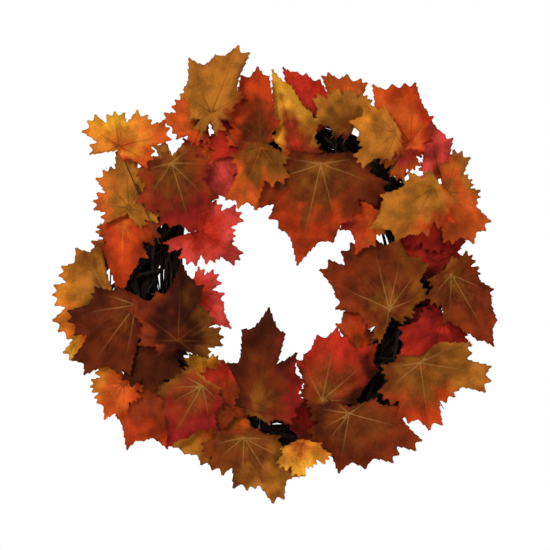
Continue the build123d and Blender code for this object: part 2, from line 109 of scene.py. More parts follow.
# A leaf's kind is its silk, and its place in the list is its number in the frame. Its heading is
# the way its main tip points, anticlockwise from +X as seen from the front, and its length is
# from the junction of its veins to that tip. colours are at its junction, middle, main tip, left
# side, base and right side; vein is its veins' colour. left and right hold its other tips, as the
# turn from the main tip and the reach as a share of the length.
Leaf = namedtuple("Leaf", "kind heading length colours vein left right")
LEAVES = (
    Leaf("mustard", 69, 83, "mustard mustard mustard mustard mustard rust", "umber",
        ((17, 0.8), (43, 0.82), (69, 0.5), (100, 0.32), (176, 0.31)),
        ((33, 0.5), (60, 0.3), (145, 0.3))),
    Leaf("orange", 177, 46, "rust orange orange flame rust orange", "rust",
        ((21, 0.77), (63, 0.58), (110, 0.5)),
        ((36, 0.88), (75, 0.66), (115, 0.5))),
    Leaf("gold", 98, 40, "orange gold yellow gold flame orange", "umber",
        ((42, 1.18), (95, 0.84)),
        ((50, 1.18), (78, 1.5), (118, 1.02), (172, 0.41))),
    Leaf("mustard", 93, 66, "mustard mustard mustard orange mustard mustard", "umber",
        ((31, 0.77), (75, 0.6), (119, 0.5)),
        ((30, 0.75), (62, 0.62), (104, 0.56), (151, 0.4))),
    Leaf("red", 267, 86, "orange flame flame rust mustard rust", "gold",
        ((21, 0.58), (71, 0.51), (130, 0.35)),
        ((17, 0.58), (56, 0.36), (120, 0.3))),
    Leaf("rust", 195, 33, "rust rust rust olive olive mustard", "umber",
        ((37, 1.2), (68, 1.1), (115, 0.6)),
        ((58, 0.92), (105, 0.85), (145, 0.4))),
    Leaf("mustard", 183, 61, "olive mustard gold orange mustard olive", "tan",
        ((36, 1.15), (70, 0.8), (110, 0.45)),
        ((32, 0.95), (58, 0.97), (84, 0.9))),
    Leaf("gold", 232, 50, "gold orange yellow gold orange gold", "orange",
        ((21, 0.65), (58, 0.45), (110, 0.35)),
        ((38, 0.71), (75, 0.6), (120, 0.35))),
    Leaf("brown", 233, 98, "brown chestnut chestnut maroon chestnut maroon", "tan",
        ((22, 0.81), (52, 0.36), (100, 0.22)),
        ((39, 0.8), (66, 0.52), (96, 0.3))),
    Leaf("maroon", 254, 58, "maroon maroon maroon dark maroon dark", "chestnut",
        ((25, 0.65), (76, 0.45), (120, 0.4)),
        ((34, 1.1), (74, 0.74), (107, 0.4))),
    Leaf("brown", 287, 84, "olive brown crimson rust mustard rust", "tan",
        ((23, 0.8), (66, 0.52), (105, 0.4), (130, 0.28)),
        ((18, 0.85), (45, 0.72), (87, 0.48), (180, 0.33))),
    # painted light: this leaf's colours are brighter than its silk, to make up for the shade of the
    # leaves over it
    Leaf("red", 297, 64, "orange pink pink pink orange rust", "rust",
        ((37, 0.74), (73, 0.6), (115, 0.5)),
        ((26, 1), (55, 0.68), (99, 0.5), (140, 0.45))),
    Leaf("maroon", 89, 58, "red red crimson red red red", "crimson",
        ((24, 0.85), (65, 0.5), (115, 0.45)),
        ((22, 0.9), (60, 0.45), (110, 0.35))),
    Leaf("rust", 92, 85, "brown chestnut flame flame maroon rust", "olive",
        ((14, 0.92), (39, 0.66), (80, 0.45), (120, 0.3)),
        ((9, 0.88), (28, 0.4), (80, 0.16))),
    Leaf("gold", 249, 72, "brown olive orange olive brown rust", "mustard",
        ((53, 0.65), (90, 0.46)),
        ((41, 0.5), (85, 0.3))),
    Leaf("orange", 107, 104, "red rust yellow orange maroon chestnut", "umber",
        ((10, 0.62), (22, 0.4), (70, 0.2)),
        ((10, 0.78), (31, 0.5), (75, 0.26), (130, 0.2))),
    Leaf("red", 122, 76, "rust red red crimson maroon red", "maroon",
        ((18, 0.58), (41, 0.32), (100, 0.25)),
        ((9, 0.85), (18, 0.77), (33, 0.66), (55, 0.5), (105, 0.3))),
    Leaf("orange", 87, 49, "orange mustard orange orange orange orange", "rust",
        ((23, 1.1), (50, 0.6), (100, 0.4)),
        ((20, 0.98), (50, 0.7), (100, 0.4))),
    Leaf("mustard", 144, 51, "brown olive mustard maroon rust mustard", "olive",
        ((20, 0.77), (60, 0.42), (110, 0.3)),
        ((27, 0.86), (54, 0.79), (83, 0.75), (120, 0.4))),
    Leaf("gold", 217, 54, "mustard mustard mustard rust mustard gold", "olive",
        ((27, 0.62), (72, 0.45)),
        ((27, 0.8), (51, 0.98), (76, 0.86), (104, 0.6))),
    Leaf("orange", 84, 69, "flame orange flame orange flame red", "rust",
        ((10, 0.98), (22, 1), (38, 1.12), (62, 0.78), (95, 0.5), (135, 0.4)),
        ((23, 0.6), (62, 0.38), (110, 0.3))),
    # painted light: this leaf's colours are brighter than its silk, to make up for the shade of the
    # leaves over it
    Leaf("red", 258, 40, "orange pink orange flame orange gold", "crimson",
        ((34, 0.75), (81, 0.6), (120, 0.5)),
        ((40, 0.85), (81, 0.65), (120, 0.5))),
    Leaf("crimson", 100, 67, "rust pink pink pink rust pink", "maroon",
        ((13, 0.64), (50, 0.34), (110, 0.3)),
        ((19, 0.66), (63, 0.42), (110, 0.32))),
    Leaf("mustard", 315, 61, "mustard orange orange mustard flame rust", "olive",
        ((36, 0.62), (70, 0.5), (114, 0.79), (149, 0.55)),
        ((18, 1.06), (39, 0.95), (70, 0.65), (115, 0.5))),
    Leaf("rust", 224, 54, "rust red crimson crimson rust red", "maroon",
        ((34, 0.88), (72, 0.7), (120, 0.5)),
        ((34, 0.75), (77, 0.51), (120, 0.4))),
    Leaf("gold", 213, 84, "mustard mustard mustard flame mustard mustard", "olive",
        ((22, 0.86), (38, 0.66), (76, 0.55), (115, 0.38)),
        ((16, 0.72), (43, 0.4), (110, 0.24))),
    Leaf("brown", 257, 116, "olive brown flame chestnut maroon chestnut", "tan",
        ((22, 0.76), (41, 0.62), (78, 0.68), (106, 0.49), (123, 0.3)),
        ((20, 0.74), (53, 0.79), (80, 0.42), (100, 0.3))),
    Leaf("orange", 249, 49, "orange flame flame mustard orange crimson", "rust",
        ((15, 0.78), (51, 0.55), (100, 0.35)),
        ((20, 0.65), (41, 0.81), (75, 0.55), (130, 0.35))),
    # painted light: this leaf's colours are brighter than its silk, to make up for the shade of the
    # leaves over it
    Leaf("crimson", 207, 54, "orange orange flame flame orange flame", "maroon",
        ((20, 0.85), (50, 0.65), (100, 0.5)),
        ((25, 0.74), (65, 0.5), (110, 0.4))),
    Leaf("brown", 104, 85, "olive chestnut chestnut rust olive olive", "tan",
        ((16, 1.01), (46, 1.05), (62, 0.72), (103, 0.38), (150, 0.45)),
        ((21, 0.95), (45, 0.8), (75, 0.55), (110, 0.32), (150, 0.25))),
    Leaf("brown", 301, 94, "olive chestnut rust chestnut olive brown", "tan",
        ((14, 0.78), (30, 0.55), (60, 0.34), (100, 0.33), (145, 0.2)),
        ((9, 0.85), (18, 0.7), (28, 0.6), (65, 0.42), (106, 0.28))),
    Leaf("crimson", 174, 64, "crimson crimson red dark crimson rust", "maroon",
        ((24, 0.8), (52, 0.67), (90, 0.5), (140, 0.4)),
        ((31, 0.65), (75, 0.45), (130, 0.4))),
    Leaf("red", 219, 63, "red crimson red red crimson crimson", "maroon",
        ((24, 0.8), (60, 0.65), (93, 0.67), (122, 0.5)),
        ((19, 0.8), (60, 0.42), (110, 0.3))),
    Leaf("crimson", 213, 38, "crimson crimson dark crimson crimson dark", "maroon",
        ((30, 0.72), (80, 0.45)),
        ((33, 0.64), (86, 0.42))),
    Leaf("mustard", 278, 76, "olive olive flame mustard chestnut brown", "tan",
        ((37, 0.72), (67, 1.08), (103, 0.79), (127, 0.42)),
        ((19, 0.9), (53, 0.76), (83, 0.57), (115, 0.35))),
    Leaf("brown", 260, 68, "brown brown chestnut rust brown maroon", "tan",
        ((26, 0.95), (51, 1.09), (79, 1.28), (98, 0.85), (128, 0.5)),
        ((22, 0.8), (45, 0.76), (83, 0.66), (112, 0.4))),
    Leaf("brown", 84, 111, "olive chestnut maroon maroon olive crimson", "olive",
        ((18, 0.79), (24, 0.56), (79, 0.24), (120, 0.15)),
        ((14, 0.78), (17, 0.46), (29, 0.66), (54, 0.53), (76, 0.45), (97, 0.38), (141, 0.2))),
    Leaf("red", 100, 58, "rust rust red rust rust maroon", "chestnut",
        ((20, 0.98), (51, 0.68), (98, 0.5), (140, 0.4)),
        ((19, 0.92), (55, 0.6), (110, 0.5))),
    # painted light: this leaf's colours are brighter than its silk, to make up for the shade of the
    # leaves over it
    Leaf("rust", 203, 88, "olive orange mustard olive mustard orange", "olive",
        ((12, 0.84), (30, 0.78), (67, 0.5), (110, 0.3)),
        ((13, 0.66), (45, 0.6), (80, 0.5), (120, 0.35))),
    Leaf("mustard", 303, 83, "olive brown mustard brown rust brown", "tan",
        ((24, 0.95), (46, 0.5), (85, 0.24)),
        ((29, 0.72), (77, 0.6), (104, 0.58), (135, 0.37))),
    Leaf("gold", 268, 38, "rust gold yellow gold flame mustard", "orange",
        ((28, 0.79), (62, 0.95), (90, 0.6)),
        ((38, 0.92), (70, 0.6))),
    Leaf("crimson", 270, 50, "crimson crimson maroon rust crimson crimson", "maroon",
        ((25, 1.05), (60, 0.6), (110, 0.3)),
        ((25, 0.65), (80, 0.3))),
    # painted light: this leaf's colours are brighter than its silk, to make up for the shade of the
    # leaves over it
    Leaf("orange", 94, 31, "gold gold yellow gold orange orange", "rust",
        ((28, 1), (70, 0.8), (120, 0.6)),
        ((35, 0.9), (80, 0.7), (120, 0.6))),
    Leaf("maroon", 88, 89, "maroon dark dark rust dark olive", "olive",
        ((10, 0.67), (26, 0.66), (49, 0.77), (84, 0.5), (127, 0.3)),
        ((12, 0.78), (44, 0.54), (83, 0.56), (118, 0.43))),
    Leaf("red", 317, 58, "crimson red pink pink red red", "crimson",
        ((24, 0.62), (79, 0.59), (120, 0.5)),
        ((22, 0.72), (60, 0.5), (110, 0.4))),
    Leaf("red", 324, 53, "red red pink pink crimson pink", "crimson",
        ((28, 0.72), (61, 0.93), (100, 0.72), (140, 0.6), (187, 0.78)),
        ((30, 0.7), (77, 0.74), (127, 0.82))),
    Leaf("orange", 240, 47, "orange orange orange flame orange gold", "rust",
        ((20, 0.78), (61, 0.5), (110, 0.45)),
        ((25, 0.82), (53, 0.82), (90, 0.75), (122, 0.5))),
    Leaf("orange", 256, 79, "rust rust flame maroon flame olive", "olive",
        ((14, 0.84), (34, 1.01), (50, 0.66), (85, 0.38), (130, 0.25)),
        ((24, 0.62), (60, 0.38), (125, 0.25))),
    Leaf("rust", 240, 80, "olive rust crimson crimson mustard olive", "tan",
        ((14, 0.76), (37, 0.64), (71, 0.4), (110, 0.25)),
        ((26, 0.66), (51, 0.66), (82, 0.5), (120, 0.3))),
    Leaf("red", 101, 58, "rust flame rust orange flame chestnut", "olive",
        ((18, 0.62), (66, 0.4), (120, 0.3)),
        ((16, 0.72), (59, 0.4), (120, 0.3))),
    Leaf("orange", 78, 84, "olive rust red rust olive dark", "tan",
        ((16, 0.87), (32, 0.66), (73, 0.32), (120, 0.2)),
        ((9, 0.9), (32, 1.06), (49, 0.86), (70, 0.5), (110, 0.25))),
)

# Silk colours in sRGB, as they look under the studio light.
PALETTE = {
    "yellow": (240, 166, 46),
    "gold": (210, 122, 34),
    "mustard": (170, 102, 32),
    "olive": (124, 69, 19),
    "tan": (184, 134, 72),
    "orange": (202, 84, 28),
    "flame": (182, 58, 20),
    "red": (184, 44, 27),
    "pink": (214, 70, 60),
    "crimson": (136, 28, 23),
    "rust": (136, 50, 20),
    "chestnut": (102, 38, 12),
    "brown": (106, 48, 15),
    "umber": (84, 44, 14),
    "maroon": (78, 29, 13),
    "dark": (54, 18, 9),
}

# The leaf outline, as in the frame's blades.
NOTCH_DEPTH = 0.34
NOTCH_TURN = 60
WAIST_SHARE = 0.13
WAIST_DROP = 0.35
TOOTH_SHARE = 0.32
TOOTH_DROP = 0.1
TOOTH_TURN = 27
STEM_NOTCH = 0.08
CLOTH_THICKNESS = 0.35
CLOTH_MARGIN = 1.0  # the cloth's edge stands out past the frame's blade

SERRATION_SPACING = 7.0
SERRATION_HEIGHT = 2.4
SERRATION_STEPS = 6
SERRATION_CURVE = 1.4
SERRATION_LEAN = 0.5
MESH_STEP = 2.1  # between a leaf's inner points
VEIN_STEP = 2.0
MAIN_VEIN_REACH = 0.94
RIB_SHARE = 0.5  # of the vein colour in a rib
VEIN_FADE = (0.15, 0.85)  # shares of the way out between which a vein loses its colour
RIBS = ((0.36, 0.0), (0.85, CLOTH_THICKNESS + 0.4))  # the front's and the back's radius and depth
RIB_SIDES = 6
LOBE_TURN = 20
LOBE_REACH = 0.4
LOBE_RISE = 0.95
SIDE_VEIN_SPACING = 10.0
SIDE_VEIN_TURN = 42.0
FAR = 99.0  # a distance at which no mark shows
LEAF_SEED_STEP = 1.37

# The cloth's relief in millimetres: how deep it is, and over what distance or at what scale.
CREASE_DEPTH, CREASE_WIDTH = 2.4, 6.0
FINE_CREASE_DEPTH, FINE_CREASE_WIDTH = 0.4, 2.2
RIPPLE_DEPTH, RIPPLE_SCALE, RIPPLE_REACH = 3.4, 9.0, 7.0
SWELL_DEPTH, SWELL_SCALE = 4.6, 26.0
CURL_START = 0.45  # the share of the way out where the tips begin to curl
CURL_RATE = 0.55

# Shares of the way out between which one colour gives way to the next.
JUNCTION_BORDER = (0.1, 0.42)
MIDDLE_BORDER = (0.42, 0.86)
COLOUR_DRIFT = 38  # degrees that the borders between the sides' colours wander

SILK_ROUGHNESS = (0.6, 0.76)
THREAD_RATE = 12.6  # radians of weave per millimetre, for threads half a millimetre apart
WORN_EDGE = (0.02, 0.006, 0.003, 1)
# painted shade: the near black of the gaps between the weave's threads
WEAVE_GAP_SHADE = (0.02, 0.01, 0.005, 1)

# The studio's lights: name, place in metres from the ring's centre, size and power.
LIGHTS = (
    ("key", (-1.5, -2.7, 1.5), 1.3, 66),
    ("fill", (2.2, -2.6, 0.2), 1.8, 25),
    ("back_left", (-2.2, 2.4, 1.4), 1.6, 45),
    ("back_right", (2.2, 2.4, 1.0), 1.6, 40),
)


# ---- small helpers
def polar(turn, distance):
    angle = math.radians(turn)
    return np.array([distance * math.cos(angle), distance * math.sin(angle)])


def smoothstep(low, high, value):
    share = np.clip((value - low) / (high - low), 0, 1)
    return share * share * (3 - 2 * share)


def linear(colour):
    """An sRGB colour out of 255 as linear light."""
    share = np.array(colour, float) / 255
    return np.where(share <= 0.04045, share / 12.92, ((share + 0.055) / 1.055) ** 2.4)


def wander(flat, scale, seed):
    """Smooth noise from about -1 to 1 at each row of an array of flat places."""
    return np.array([noise.noise(Vector((*p, 0)) / scale + Vector((seed, 0, 0))) for p in flat])


def add_mesh(name, points, faces, material):
    """A smooth mesh from points in millimetres about the ring's centre."""
    mesh = bpy.data.meshes.new(name)
    placed = np.asarray(points) * MM + np.array(RING_CENTRE)
    mesh.from_pydata(placed.tolist(), [], faces)
    mesh.materials.append(material)
    mesh.shade_smooth()
    piece = bpy.data.objects.new(name, mesh)
    bpy.context.collection.objects.link(piece)
    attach(piece, BODY)
    return piece


def point_values(piece, name, kind, values):
    """Store one value for each point of a mesh, for its material to read."""
    keys = {"FLOAT": "value", "FLOAT_VECTOR": "vector", "FLOAT_COLOR": "color"}
    attribute = piece.data.attributes.new(name, kind, "POINT")
    attribute.data.foreach_set(keys[kind], np.asarray(values, dtype=np.float32).ravel())


# ---- node materials
class Nodes:
    """A short way to write a material's nodes."""

    def __init__(self, name):
        self.material = bpy.data.materials.new(name)
        self.material.use_nodes = True
        self.tree = self.material.node_tree
        self.shader = self.tree.nodes["Principled BSDF"]

    def add(self, kind, inputs=None, **settings):
        node = self.tree.nodes.new(kind)
        for key, value in settings.items():
            setattr(node, key, value)
        for key, value in (inputs or {}).items():
            self.set(node, key, value)
        return node

    def set(self, node, key, value):
        if isinstance(value, bpy.types.NodeSocket):
            self.tree.links.new(value, node.inputs[key])
        else:
            node.inputs[key].default_value = value

    def math(self, operation, first, second=0.0):
        node = self.add("ShaderNodeMath", {0: first, 1: second}, operation=operation)
        return node.outputs[0]

    def fade(self, value, low, high, start=0.0, end=1.0):
        """From start to end as the value goes from low to high."""
        inputs = {"Value": value, "From Min": low, "From Max": high, "To Min": start, "To Max": end}
        node = self.add("ShaderNodeMapRange", inputs, interpolation_type="SMOOTHSTEP")
        return node.outputs["Result"]

    def mix(self, share, first, second, blend="MIX"):
        node = self.add("ShaderNodeMix", data_type="RGBA", blend_type=blend)
        self.set(node, 0, share)
        self.set(node, 6, first)
        self.set(node, 7, second)
        return node.outputs[2]

    def noise(self, place, scale, detail=3.0):
        inputs = {"Vector": place, "Scale": scale, "Detail": detail}
        return self.add("ShaderNodeTexNoise", inputs).outputs["Fac"]

    def bump(self, height, strength, distance, below=None):
        inputs = {"Height": height, "Strength": strength, "Distance": distance}
        if below is not None:
            inputs["Normal"] = below
        return self.add("ShaderNodeBump", inputs).outputs["Normal"]

    def attribute(self, name, output="Color"):
        return self.add("ShaderNodeAttribute", attribute_name=name).outputs[output]

    def surface(self, colour, roughness, normal, specular=0.5):
        self.set(self.shader, "Base Color", colour)
        self.set(self.shader, "Roughness", roughness)
        self.set(self.shader, "Normal", normal)
        self.set(self.shader, "Specular IOR Level", specular)


def silk(name):
    """Woven leaf cloth. Its points hold tint and vein_tint, colours; marks, their distance from
    a main vein, a side vein and the edge in millimetres; and place, where they are on the leaf."""
    nodes = Nodes(name)
    place = nodes.attribute("place", "Vector")
    marks = nodes.add("ShaderNodeSeparateXYZ", {0: nodes.attribute("marks", "Vector")}).outputs
    tint = nodes.attribute("tint")
    vein_tint = nodes.attribute("vein_tint")

    blotches = nodes.noise(place, 0.05, 4.0)
    specks = nodes.noise(place, 0.45, 3.0)
    shade = nodes.fade(blotches, 0.3, 0.7, 0.62, 1.3)
    shade = nodes.math("ADD", shade, nodes.fade(specks, 0.3, 0.7, -0.1, 0.1))
    shaded = nodes.add("ShaderNodeVectorMath", {0: tint, 3: shade}, operation="SCALE").outputs[0]

    side_share = nodes.fade(marks[1], 0.1, 0.8, 0.07, 0.0)
    veined = nodes.mix(side_share, shaded, vein_tint)
    main_share = nodes.fade(marks[0], 0.2, 1.0, 0.45, 0.0)
    veined = nodes.mix(main_share, veined, vein_tint)
    edge_share = nodes.fade(marks[2], 0.1, 1.8, 0.35, 0.0)
    edge_share = nodes.math("MULTIPLY", edge_share, nodes.fade(specks, 0.35, 0.6))
    edged = nodes.mix(edge_share, veined, WORN_EDGE)

    separate = nodes.add("ShaderNodeSeparateXYZ", {0: place}).outputs
    warp = nodes.math("SINE", nodes.math("MULTIPLY", separate[0], THREAD_RATE))
    weft = nodes.math("SINE", nodes.math("MULTIPLY", separate[1], THREAD_RATE))
    threads = nodes.math("MULTIPLY", warp, weft)
    # painted shade: every other cell of the weave goes a tenth of the way to near black, standing in
    # for the dark between the threads
    woven = nodes.mix(nodes.fade(threads, -1.0, 1.0, 0.0, 0.1), edged, WEAVE_GAP_SHADE)

    rib = nodes.fade(marks[1], 0.0, 1.6, 1.0, 0.0)
    height = nodes.math("MULTIPLY", threads, 0.04)
    height = nodes.math("ADD", height, nodes.math("MULTIPLY", rib, 0.15))
    height = nodes.math("ADD", height, nodes.math("MULTIPLY", specks, 0.3))
    dullness = nodes.fade(specks, 0.3, 0.7, *SILK_ROUGHNESS)
    nodes.surface(woven, dullness, nodes.bump(height, 0.7, MM), specular=0.03)
    return nodes.material


def bark(name, dark, light):
    """Rough vine bark. Its points hold place, as how far along the vine and round it in
    millimetres, and ridge, how far each stands out."""
    nodes = Nodes(name)
    place = nodes.attribute("place", "Vector")
    along_grain = (0.12, 1.0, 1.0)
    stretched = nodes.add("ShaderNodeVectorMath", {0: place, 1: along_grain}, operation="MULTIPLY")
    fibres = nodes.noise(stretched.outputs[0], 1.1, 6.0)
    patches = nodes.noise(place, 0.04, 4.0)
    ridge = nodes.attribute("ridge", "Fac")
    share = nodes.fade(patches, 0.35, 0.7, 0.25, 1.0)
    share = nodes.math("MULTIPLY", share, nodes.fade(fibres, 0.42, 0.72))
    share = nodes.math("ADD", share, nodes.fade(ridge, 0.2, 1.0, 0.0, 0.35))
    colour = nodes.mix(share, (*dark, 1), (*light, 1))
    dullness = nodes.fade(fibres, 0.3, 0.7, 0.95, 0.7)
    nodes.surface(colour, dullness, nodes.bump(fibres, 0.8, 0.9 * MM), specular=0.06)
    return nodes.material


def painted_wire(name, paint, bare):
    """Wire with dull paint that is chipped to bare metal in places."""
    nodes = Nodes(name)
    place = nodes.add("ShaderNodeTexCoord").outputs["Object"]
    chips = nodes.fade(nodes.noise(place, 420.0, 5.0), 0.62, 0.68)
    grime = nodes.noise(place, 90.0, 4.0)
    coat = nodes.mix(nodes.fade(grime, 0.3, 0.7, 0.0, 0.5), (*paint, 1), (0.02, 0.015, 0.01, 1))
    colour = nodes.mix(chips, coat, (*bare, 1))
    nodes.set(nodes.shader, "Metallic", nodes.fade(chips, 0.0, 1.0, 0.0, 0.9))
    dullness = nodes.fade(grime, 0.3, 0.7, 0.42, 0.65)
    nodes.surface(colour, dullness, nodes.bump(grime, 0.3, 0.2 * MM))
    return nodes.material


def floral_tape(name):
    """Stems wrapped in crinkled brown paper tape."""
    nodes = Nodes(name)
    place = nodes.add("ShaderNodeTexCoord").outputs["Object"]
    crinkles = nodes.noise(place, 900.0, 4.0)
    patches = nodes.noise(place, 60.0, 3.0)
    share = nodes.fade(patches, 0.35, 0.65)
    colour = nodes.mix(share, (0.06, 0.024, 0.008, 1), (0.12, 0.055, 0.016, 1))
    # painted shade: up to half way to near black in the hollows of the crinkles, where the bump sinks
    crease_shaded = nodes.mix(nodes.fade(crinkles, 0.3, 0.6, 0.5, 0.0), colour, (0.015, 0.008, 0.004, 1))
    dullness = nodes.fade(crinkles, 0.3, 0.7, 0.9, 0.7)
    nodes.surface(crease_shaded, dullness, nodes.bump(crinkles, 0.6, 0.3 * MM), specular=0.1)
    return nodes.material


# ---- leaf outline
def lobe_corners(first, second):
    """The corners between two tips, each a turn, a reach and whether it is a sharp tip."""
    turn = second[0] - first[0]
    notch = math.cos(math.radians(turn / 2)) * (1 - NOTCH_DEPTH * min(1, turn / NOTCH_TURN))
    corners = [(first[0] + turn / 2, notch * (first[1] + second[1]) / 2, False)]
    if turn >= TOOTH_TURN:
        for share, drop, sharp in ((TOOTH_SHARE, TOOTH_DROP, True), (WAIST_SHARE, WAIST_DROP, False)):
            reach = 1 - drop * (1 - notch)
            corners.insert(0, (first[0] + share * turn, first[1] * reach, sharp))
            corners.append((second[0] - share * turn, second[1] * reach, sharp))
    return corners + [(*second, True)]


def leaf_corners(leaf):
    """The blade's corners, anticlockwise from the main tip, and its tips."""
    corners = [(0, 1, True)]
    for tip in leaf.left:
        corners += lobe_corners(corners[-1][:2], tip)
    right = [(360 - turn, reach) for turn, reach in reversed(leaf.right)]
    corners.append(((leaf.left[-1][0] + right[0][0]) / 2, STEM_NOTCH, True))
    corners.append((*right[0], True))
    for tip in right[1:] + [(360, 1)]:
        corners += lobe_corners(corners[-1][:2], tip)
    return corners[:-1]


def curve_points(before, start, end, after, steps):
    """A Catmull-Rom curve from start to just before end."""
    share = np.arange(steps)[:, None] / steps
    return 0.5 * (
        2 * start
        + (end - before) * share
        + (2 * before - 5 * start + 4 * end - after) * share**2
        + (3 * start - before - 3 * end + after) * share**3
    )


def toothed_outline(leaf, seed):
    """The edge of the cloth: curved between the corners, with teeth that lean to the lobes' tips."""
    corners = leaf_corners(leaf)
    places = [polar(turn, reach * leaf.length + CLOTH_MARGIN) for turn, reach, _ in corners]
    count = len(corners)
    outline = []
    for i in range(count):
        start, end = places[i], places[(i + 1) % count]
        before = start if corners[i][2] else places[i - 1]
        after = end if corners[(i + 1) % count][2] else places[(i + 2) % count]
        length = np.linalg.norm(end - start)
        teeth = max(1, round(length / SERRATION_SPACING))
        steps = teeth * SERRATION_STEPS
        points = curve_points(before, start, end, after, steps)
        share = np.arange(steps) / steps
        rising = corners[(i + 1) % count][1] >= corners[i][1]
        phase = (share if rising else 1 - share) * teeth
        chance = np.array([noise.noise((seed, i * 3.1, math.floor(p) * 1.7)) for p in phase])
        height = SERRATION_HEIGHT * (0.75 + 0.5 * chance) * (phase % 1) ** SERRATION_CURVE
        if not rising:
            height[0] = 0
        along = (end - start) / length
        outward = np.array([along[1], -along[0]])
        lean = along if rising else -along
        outline.append(points + height[:, None] * (outward + SERRATION_LEAN * lean))
    return np.concatenate(outline)


def is_inside(outline, points):
    """Whether each point is within the outline."""
    inside = np.zeros(len(points), bool)
    x, y = points[:, 0], points[:, 1]
    for (x1, y1), (x2, y2) in zip(outline, np.roll(outline, -1, axis=0)):
        if y1 != y2:
            inside ^= ((y1 > y) != (y2 > y)) & (x < (x2 - x1) * (y - y1) / (y2 - y1) + x1)
    return inside


def distance_to_lines(points, lines):
    """From each point to the nearest of some polylines."""
    starts = np.concatenate([line[:-1] for line in lines])
    steps = np.concatenate([line[1:] - line[:-1] for line in lines])
    away = points[:, None, :] - starts[None]
    squares = np.maximum((steps**2).sum(axis=1), 1e-9)
    share = np.clip((away * steps).sum(axis=2) / squares, 0, 1)
    gaps = away - share[:, :, None] * steps
    return np.sqrt((gaps**2).sum(axis=2).min(axis=1))


# ---- leaf veins
def lobe_tips(tips):
    """The tips on one side that end a lobe, from the main one outwards. The rest are teeth."""
    chosen = []
    last = 0
    for i, (turn, reach) in enumerate(tips):
        following = tips[i + 1][1] if i + 1 < len(tips) else 0
        if turn - last >= LOBE_TURN and reach >= LOBE_REACH and reach >= LOBE_RISE * following:
            chosen.append((turn, reach))
            last = turn
    return chosen


def main_veins(leaf):
    """A line from the junction to near each lobe's tip, bowed a little away from the main one."""
    veins = []
    right = [(-turn, reach) for turn, reach in lobe_tips(leaf.right)]
    for turn, reach in [(0, 1)] + lobe_tips(leaf.left) + right:
        end = MAIN_VEIN_REACH * reach * leaf.length
        steps = max(4, round(end / VEIN_STEP))
        bow = 5 * np.sign(turn)
        shares = np.arange(steps + 1) / steps
        line = [polar(turn + bow * math.sin(math.pi * share), end * share) for share in shares]
        veins.append(np.array(line))
    return veins


def nearest_tree(lines):
    """A tree of all the lines' points, and which line each belongs to."""
    owners = [i for i, line in enumerate(lines) for point in line]
    tree = KDTree(len(owners))
    for i, point in enumerate(np.concatenate(lines)):
        tree.insert((*point, 0), i)
    tree.balance()
    return tree, owners


def side_veins(mains, outline):
    """Veins that branch both ways from each main vein towards the edge."""
    tree, owners = nearest_tree([line[2:] for line in mains])
    edge, _ = nearest_tree([outline])
    every = round(SIDE_VEIN_SPACING / VEIN_STEP)
    most_steps = 24
    droop = 1.1  # degrees at each step
    vein_gap = 3
    edge_gap = 1.6
    veins = []
    for k, main in enumerate(mains):
        for i in range(every, len(main) - 3, every):
            for side in (-1, 1):
                ahead = main[i + 1] - main[i]
                turn = math.degrees(math.atan2(ahead[1], ahead[0])) + side * SIDE_VEIN_TURN
                line = [main[i]]
                for step in range(most_steps):
                    point = line[-1] + polar(turn - side * droop * step, VEIN_STEP)
                    _, index, gap = tree.find((*point, 0))
                    at_vein = owners[index] != k and gap < vein_gap
                    if at_vein or edge.find((*point, 0))[2] < edge_gap:
                        break
                    line.append(point)
                if len(line) > 2:
                    veins.append(np.array(line))
    return veins


# ---- leaf surface
def leaf_place(name, leaf):
    """The junction's place across and up in millimetres, from the frame blade's box."""
    corners = leaf_corners(leaf)
    offsets = [polar(leaf.heading + turn, reach * leaf.length) for turn, reach, _ in corners]
    low, high = (Vector(corner) - RING_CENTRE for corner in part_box(name))
    middle = (np.min(offsets, axis=0) + np.max(offsets, axis=0)) / 2
    return np.array([(low.x + high.x) / 2, (low.z + high.z) / 2]) / MM - middle


def curve_terms(across, up):
    return np.stack([np.ones_like(across), across, up, across**2, across * up, up**2], axis=1)


def blade_curve(name):
    """The quadratic surface through the middle of the frame's blade, as how far back it lies."""
    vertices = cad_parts[name].data.vertices
    places = np.array([(v.co - RING_CENTRE) / MM for v in vertices])
    terms = curve_terms(places[:, 0], places[:, 2])
    return np.linalg.lstsq(terms, places[:, 1], rcond=None)[0]


def obstacle_tree(names):
    """Some of the frame's pieces as one tree, for measuring the room round a leaf."""
    points = []
    faces = []
    for name in names:
        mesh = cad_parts[name].data
        start = len(points)
        points += [(v.co - RING_CENTRE) / MM for v in mesh.vertices]
        faces += [[start + v for v in polygon.vertices] for polygon in mesh.polygons]
    return BVHTree.FromPolygons(points, faces)


def room(tree, places, way, edges):
    """How far each point may move forward (-1) or back (1), growing gently away from a neighbour."""
    start_gap = 1.0
    most = 11.0
    least = 0.2
    share = 0.42  # of the gap, as the neighbour moves too
    spare = 0.4
    slope = 0.35
    passes = 14
    free = []
    for place in places:
        start = Vector(place) + Vector((0, way * start_gap, 0))
        distance = tree.ray_cast(start, Vector((0, way, 0)), 2 * most)[3]
        free.append(most if distance is None else min(most, share * (distance + start_gap) - spare))
    free = np.maximum(np.array(free), least)
    lengths = np.linalg.norm(places[edges[:, 0]] - places[edges[:, 1]], axis=1)
    for _ in range(passes):
        np.minimum.at(free, edges[:, 0], free[edges[:, 1]] + slope * lengths)
        np.minimum.at(free, edges[:, 1], free[edges[:, 0]] + slope * lengths)
    return free


def clear_of_stems(stems, places, free):
    """The room behind each point, less where a stem runs close behind the blade."""
    reach = 4.5
    clearance = 1.5
    behind = Vector((0, 2, 0))
    for i, place in enumerate(places):
        found = stems.find_nearest(Vector(place) + behind, reach)[0]
        if found is not None:
            beside = math.hypot(found.x - place[0], found.z - place[2])
            free[i] = min(free[i], max(0.0, beside - clearance))
    return free


